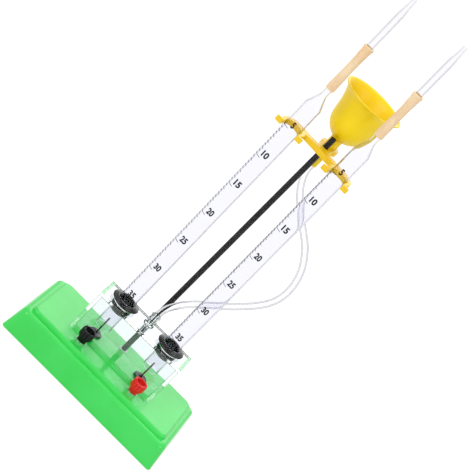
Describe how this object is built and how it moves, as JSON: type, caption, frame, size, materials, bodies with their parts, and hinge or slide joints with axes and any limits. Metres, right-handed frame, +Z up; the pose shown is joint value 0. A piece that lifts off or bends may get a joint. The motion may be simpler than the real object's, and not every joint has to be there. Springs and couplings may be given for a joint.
{
  "type": "hofmann voltameter",
  "caption": "Classroom water electrolysis apparatus: clear tank on a hollow base, graduated gas tubes with jets in a bracket on a rod, and a filling funnel with its hose.",
  "frame": {"origin": "centre of the base's outline, in the plane that it stands on", "axes": "+Z up along the rod, +X to the right with the binding posts in front, +Y to the back"},
  "size_m": [0.171, 0.1128, 0.4235],
  "materials": {
    "green_moulding": "glossy moulded plastic",
    "black_paint": "satin black",
    "pale_plastic": "smooth",
    "plated_steel": "bright plating",
    "clear_acrylic": "clear, polished",
    "black_rubber": "smooth, dull shine",
    "clear_glass": "clear",
    "latex": "soft, matt",
    "amber_moulding": "glossy moulded plastic",
    "yellow_moulding": "glossy moulded plastic",
    "clear_hose": "clear, soft",
    "dark_metal": "dark, dull",
    "black_plastic": "glossy",
    "red_plastic": "glossy",
    "tinned_brass": "tinned",
    "black_insulation": "smooth",
    "red_insulation": "smooth"
  },
  "bodies": {
    "stand": {"base_shell": "green_moulding", "support_rod": "black_paint", "rod_foot_washer": "pale_plastic", "rod_nut": "plated_steel", "electrolysis_tank": "clear_acrylic", "tank_lid": "clear_acrylic", "left_stopper": "black_rubber", "right_stopper": "black_rubber", "tube_bracket": "amber_moulding", "filling_funnel": "yellow_moulding", "filling_hose": "clear_hose", "inlet_nozzle": "clear_acrylic", "left_electrode": "dark_metal", "right_electrode": "dark_metal", "left_electrode_plug": "black_rubber", "right_electrode_plug": "black_rubber", "black_post_stud": "plated_steel", "red_post_stud": "plated_steel", "post_nuts": "plated_steel", "post_lock_washers": "plated_steel", "post_lugs": "tinned_brass", "electrode_nuts": "plated_steel", "electrode_lugs": "tinned_brass", "left_lead_wire": "black_insulation", "right_lead_wire": "red_insulation"},
    "left_tube": {"left_gas_tube": "clear_glass", "left_latex_sleeve": "latex", "left_glass_jet": "clear_glass"},
    "right_tube": {"right_gas_tube": "clear_glass", "right_latex_sleeve": "latex", "right_glass_jet": "clear_glass"},
    "black_washer": {"black_post_washer": "plated_steel"},
    "black_cap": {"black_post_cap": "black_plastic"},
    "red_washer": {"red_post_washer": "plated_steel"},
    "red_cap": {"red_post_cap": "red_plastic"}
  },
  "joints": [
    {"name": "left_tube_slide", "type": "slide", "parent": "stand", "child": "left_tube", "axis": [-0.0128, 0.0174, 0.9998], "range_m": [-0.008, 0.015]},
    {"name": "right_tube_slide", "type": "slide", "parent": "stand", "child": "right_tube", "axis": [-0.0149, -0.0156, 0.9998], "range_m": [-0.011, 0.015]},
    {"name": "black_cap_rise", "type": "slide", "parent": "stand", "child": "black_washer", "axis": [0, 0, 1], "range_m": [0, 0.0042]},
    {"name": "black_cap_turn", "type": "hinge", "parent": "black_washer", "child": "black_cap", "pos_m": [-0.03, -0.0235, 0.0297], "axis": [0, 0, 1], "range_deg": [0, 2160]},
    {"name": "red_cap_rise", "type": "slide", "parent": "stand", "child": "red_washer", "axis": [0, 0, 1], "range_m": [0, 0.0042]},
    {"name": "red_cap_turn", "type": "hinge", "parent": "red_washer", "child": "red_cap", "pos_m": [0.03, -0.0235, 0.0297], "axis": [0, 0, 1], "range_deg": [0, 2160]}
  ],
  "couplings": [
    {"joint": "black_cap_turn", "follows": "black_cap_rise", "rad_per_m": 8976},
    {"joint": "red_cap_turn", "follows": "red_cap_rise", "rad_per_m": 8976}
  ]
}
